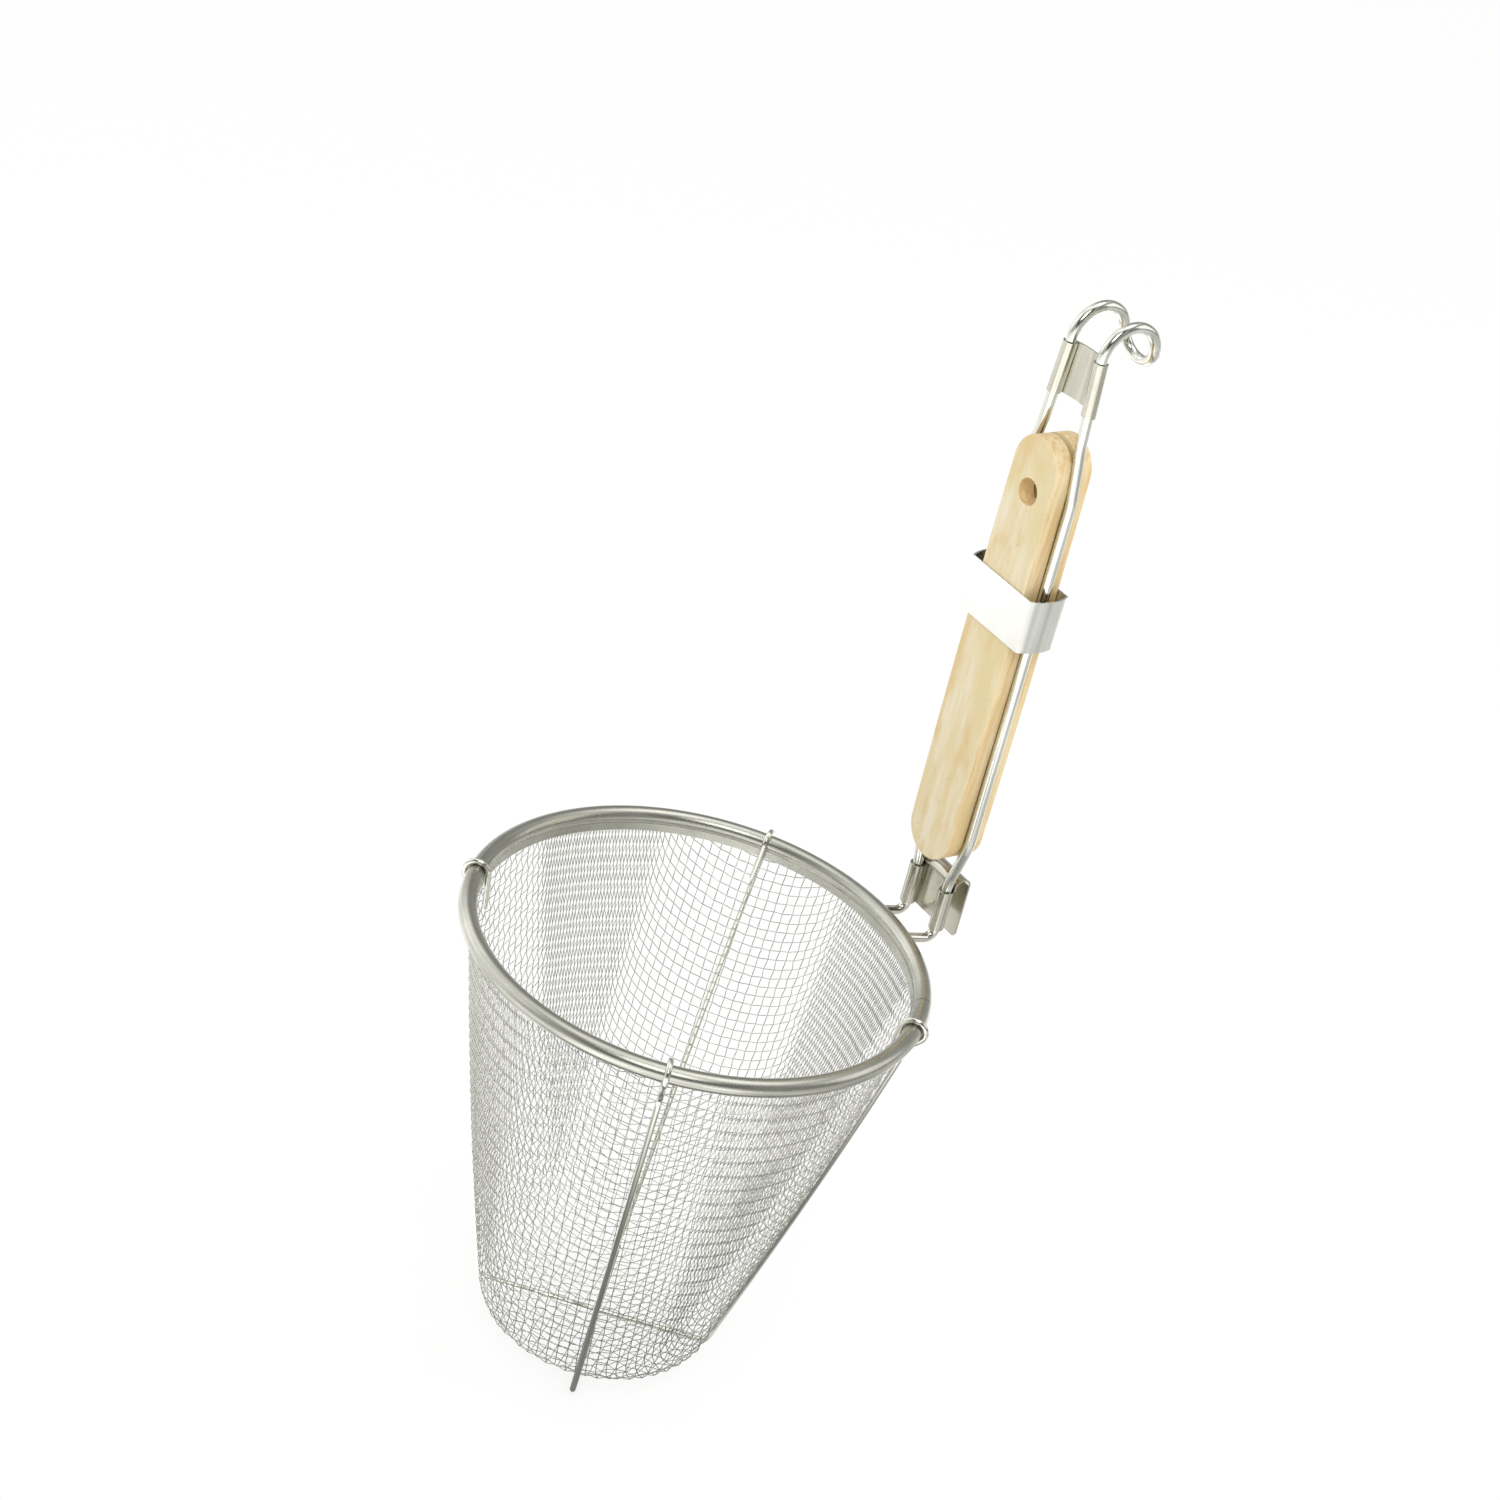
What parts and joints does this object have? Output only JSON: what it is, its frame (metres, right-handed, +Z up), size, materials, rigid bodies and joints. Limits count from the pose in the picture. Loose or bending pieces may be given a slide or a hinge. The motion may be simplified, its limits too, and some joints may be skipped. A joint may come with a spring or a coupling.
{
  "type": "noodle blanching basket",
  "caption": "Deep tapered wire-mesh basket with a rolled rim, an upright wood-gripped wire handle, a bracket that hooks on a pot and a double hanging hook.",
  "frame": {"origin": "seat of the pot hook: the highest line inside the bracket's fold, half way across its slot and between the two handle wires", "axes": "+Z up as the basket hangs, +X from the basket's axis out through the handle, +Y to the left of one who looks along +X"},
  "size_m": [0.1692, 0.14, 0.3415],
  "materials": {
    "sheet_steel": "stainless sheet, smooth",
    "mesh_steel": "woven stainless wire cloth",
    "wire_steel": "drawn stainless wire, satin",
    "grip_wood": "pale close-grained wood, unvarnished"
  },
  "bodies": {
    "root": {"rim_band": "sheet_steel", "mesh_basket": "mesh_steel", "support_wire_cross": "wire_steel", "support_wire_under": "wire_steel", "handle_wire": "wire_steel", "pot_hook_bracket": "sheet_steel", "front_slab": "grip_wood", "rear_slab": "grip_wood", "slab_band": "sheet_steel", "top_clip": "sheet_steel"}
  },
  "joints": []
}
